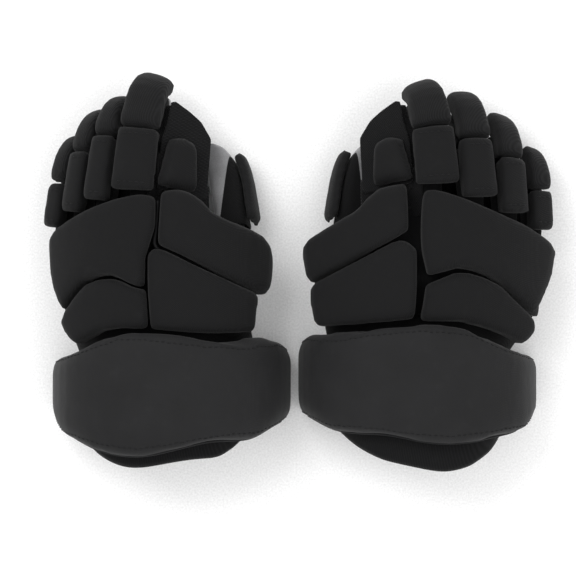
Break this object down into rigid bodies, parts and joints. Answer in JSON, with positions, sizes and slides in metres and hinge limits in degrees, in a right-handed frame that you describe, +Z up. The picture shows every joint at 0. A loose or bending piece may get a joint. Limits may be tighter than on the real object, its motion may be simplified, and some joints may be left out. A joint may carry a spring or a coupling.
{
  "type": "ice hockey gloves",
  "caption": "Pair of padded black ice hockey gloves lying palm down: segmented finger and back pads, thumb pad, grey palm leather and a wide hinged cuff roll.",
  "frame": {"origin": "centre of the pair's bounding box, on the surface that the gloves lie on", "axes": "+X to the right glove, +Y to the fingertips, +Z up, from the palms to the backs of the hands"},
  "size_m": [0.4042, 0.3187, 0.098],
  "materials": {
    "shell": "matte woven polyester",
    "leather": "brushed synthetic suede",
    "gusset": "stretch knit",
    "cuff": "twill",
    "plastic": "moulded sheet"
  },
  "bodies": {
    "left_hand": {"left_palm": "leather", "left_heel_patch": "leather", "left_back_liner": "gusset", "left_knuckle_pad": "shell", "left_wrist_pad": "shell", "left_thumb_base_pad": "shell", "left_thumb_wrist_pad": "shell"},
    "left_cuff": {"left_cuff_roll": "cuff", "left_cuff_plate": "plastic", "left_cuff_liner": "gusset"},
    "left_index_middle": {"left_index_middle_pad": "shell", "left_index_middle_stall": "gusset", "left_index_side_pad": "shell", "left_index_side_panel": "gusset"},
    "left_index_tip": {"left_index_tip_pad": "shell", "left_index_tip_stall": "gusset"},
    "left_middle_middle": {"left_middle_middle_pad": "shell", "left_middle_middle_stall": "gusset"},
    "left_middle_tip": {"left_middle_tip_pad": "shell", "left_middle_tip_stall": "gusset"},
    "left_ring_middle": {"left_ring_middle_pad": "shell", "left_ring_middle_stall": "gusset"},
    "left_ring_tip": {"left_ring_tip_pad": "shell", "left_ring_tip_stall": "gusset"},
    "left_little_middle": {"left_little_middle_pad": "shell", "left_little_middle_stall": "gusset"},
    "left_little_tip": {"left_little_tip_pad": "shell", "left_little_tip_stall": "gusset"},
    "left_thumb": {"left_thumb_stall": "leather", "left_thumb_pad": "shell"},
    "right_hand": {"right_palm": "leather", "right_heel_patch": "leather", "right_back_liner": "gusset", "right_knuckle_pad": "shell", "right_wrist_pad": "shell", "right_thumb_base_pad": "shell", "right_thumb_wrist_pad": "shell"},
    "right_cuff": {"right_cuff_roll": "cuff", "right_cuff_plate": "plastic", "right_cuff_liner": "gusset"},
    "right_index_middle": {"right_index_middle_pad": "shell", "right_index_middle_stall": "gusset", "right_index_side_pad": "shell", "right_index_side_panel": "gusset"},
    "right_index_tip": {"right_index_tip_pad": "shell", "right_index_tip_stall": "gusset"},
    "right_middle_middle": {"right_middle_middle_pad": "shell", "right_middle_middle_stall": "gusset"},
    "right_middle_tip": {"right_middle_tip_pad": "shell", "right_middle_tip_stall": "gusset"},
    "right_ring_middle": {"right_ring_middle_pad": "shell", "right_ring_middle_stall": "gusset"},
    "right_ring_tip": {"right_ring_tip_pad": "shell", "right_ring_tip_stall": "gusset"},
    "right_little_middle": {"right_little_middle_pad": "shell", "right_little_middle_stall": "gusset"},
    "right_little_tip": {"right_little_tip_pad": "shell", "right_little_tip_stall": "gusset"},
    "right_thumb": {"right_thumb_stall": "leather", "right_thumb_pad": "shell"}
  },
  "joints": [
    {"name": "left_cuff", "type": "hinge", "parent": "left_hand", "child": "left_cuff", "pos_m": [-0.1016, -0.04545, 0.086], "axis": [-1, 0, 0], "range_deg": [-5, 20], "stiffness_Nm_per_rad": 3},
    {"name": "left_index_knuckle", "type": "hinge", "parent": "left_hand", "child": "left_index_middle", "pos_m": [-0.12079, 0.06405, 0.05246], "axis": [-0.9391, 0.0349, -0.3418], "range_deg": [-1, 24], "stiffness_Nm_per_rad": 1},
    {"name": "left_index_tip", "type": "hinge", "parent": "left_index_middle", "child": "left_index_tip", "pos_m": [-0.1165, 0.10462, 0.04484], "axis": [-0.9391, 0.0349, -0.3418], "range_deg": [-1, 46], "stiffness_Nm_per_rad": 0.6},
    {"name": "left_middle_knuckle", "type": "hinge", "parent": "left_hand", "child": "left_middle_middle", "pos_m": [-0.14979, 0.05655, 0.044], "axis": [-0.9374, 0.0698, -0.3412], "range_deg": [-1, 50], "stiffness_Nm_per_rad": 1},
    {"name": "left_middle_tip", "type": "hinge", "parent": "left_middle_middle", "child": "left_middle_tip", "pos_m": [-0.14404, 0.09802, 0.03669], "axis": [-0.9374, 0.0698, -0.3412], "range_deg": [-1, 46], "stiffness_Nm_per_rad": 0.6},
    {"name": "left_ring_knuckle", "type": "hinge", "parent": "left_hand", "child": "left_ring_middle", "pos_m": [-0.16879, 0.04755, 0.03194], "axis": [-0.9361, 0.0872, -0.3407], "range_deg": [-1, 50], "stiffness_Nm_per_rad": 1},
    {"name": "left_ring_tip", "type": "hinge", "parent": "left_ring_middle", "child": "left_ring_tip", "pos_m": [-0.16318, 0.08679, 0.02659], "axis": [-0.9361, 0.0872, -0.3407], "range_deg": [-1, 46], "stiffness_Nm_per_rad": 0.6},
    {"name": "left_little_knuckle", "type": "hinge", "parent": "left_hand", "child": "left_little_middle", "pos_m": [-0.18479, 0.03555, 0.01517], "axis": [-0.9345, 0.1045, -0.3401], "range_deg": [-1, 50], "stiffness_Nm_per_rad": 1},
    {"name": "left_little_tip", "type": "hinge", "parent": "left_little_middle", "child": "left_little_tip", "pos_m": [-0.18033, 0.06714, 0.01264], "axis": [-0.9345, 0.1045, -0.3401], "range_deg": [-1, 46], "stiffness_Nm_per_rad": 0.6},
    {"name": "left_thumb", "type": "hinge", "parent": "left_hand", "child": "left_thumb", "pos_m": [-0.0536, 0.03455, 0.0275], "axis": [-0.2041, 0.1908, 0.9602], "range_deg": [-10, 8], "stiffness_Nm_per_rad": 1},
    {"name": "right_glove_apart", "type": "slide", "parent": "left_hand", "child": "right_hand", "axis": [1, 0, 0], "range_m": [0, 0.2]},
    {"name": "right_cuff", "type": "hinge", "parent": "right_hand", "child": "right_cuff", "pos_m": [0.0939, -0.03945, 0.086], "axis": [-1, 0, 0], "range_deg": [-5, 20], "stiffness_Nm_per_rad": 3},
    {"name": "right_index_knuckle", "type": "hinge", "parent": "right_hand", "child": "right_index_middle", "pos_m": [0.09998, 0.06905, 0.05238], "axis": [-0.9607, -0.0349, 0.2755], "range_deg": [-1, 24], "stiffness_Nm_per_rad": 1},
    {"name": "right_index_tip", "type": "hinge", "parent": "right_index_middle", "child": "right_index_tip", "pos_m": [0.09664, 0.10522, 0.04533], "axis": [-0.9607, -0.0349, 0.2755], "range_deg": [-1, 46], "stiffness_Nm_per_rad": 0.6},
    {"name": "right_middle_knuckle", "type": "hinge", "parent": "right_hand", "child": "right_middle_middle", "pos_m": [0.13298, 0.05875, 0.04708], "axis": [-0.9611, -0.0175, 0.2756], "range_deg": [-1, 50], "stiffness_Nm_per_rad": 1},
    {"name": "right_middle_tip", "type": "hinge", "parent": "right_middle_middle", "child": "right_middle_tip", "pos_m": [0.13018, 0.09591, 0.03967], "axis": [-0.9611, -0.0175, 0.2756], "range_deg": [-1, 46], "stiffness_Nm_per_rad": 0.6},
    {"name": "right_ring_knuckle", "type": "hinge", "parent": "right_hand", "child": "right_ring_middle", "pos_m": [0.16048, 0.04635, 0.03448], "axis": [-0.9613, 0, 0.2756], "range_deg": [-1, 50], "stiffness_Nm_per_rad": 1},
    {"name": "right_ring_tip", "type": "hinge", "parent": "right_ring_middle", "child": "right_ring_tip", "pos_m": [0.15875, 0.0818, 0.02847], "axis": [-0.9613, 0, 0.2756], "range_deg": [-1, 46], "stiffness_Nm_per_rad": 0.6},
    {"name": "right_little_knuckle", "type": "hinge", "parent": "right_hand", "child": "right_little_middle", "pos_m": [0.18298, 0.03355, 0.01624], "axis": [-0.9613, 0, 0.2756], "range_deg": [-1, 50], "stiffness_Nm_per_rad": 1},
    {"name": "right_little_tip", "type": "hinge", "parent": "right_little_middle", "child": "right_little_tip", "pos_m": [0.1823, 0.06144, 0.0139], "axis": [-0.9613, 0, 0.2756], "range_deg": [-1, 46], "stiffness_Nm_per_rad": 0.6},
    {"name": "right_thumb", "type": "hinge", "parent": "right_hand", "child": "right_thumb", "pos_m": [0.0424, 0.03655, 0.027], "axis": [-0.2054, -0.1564, -0.9661], "range_deg": [-10, 8], "stiffness_Nm_per_rad": 1}
  ]
}
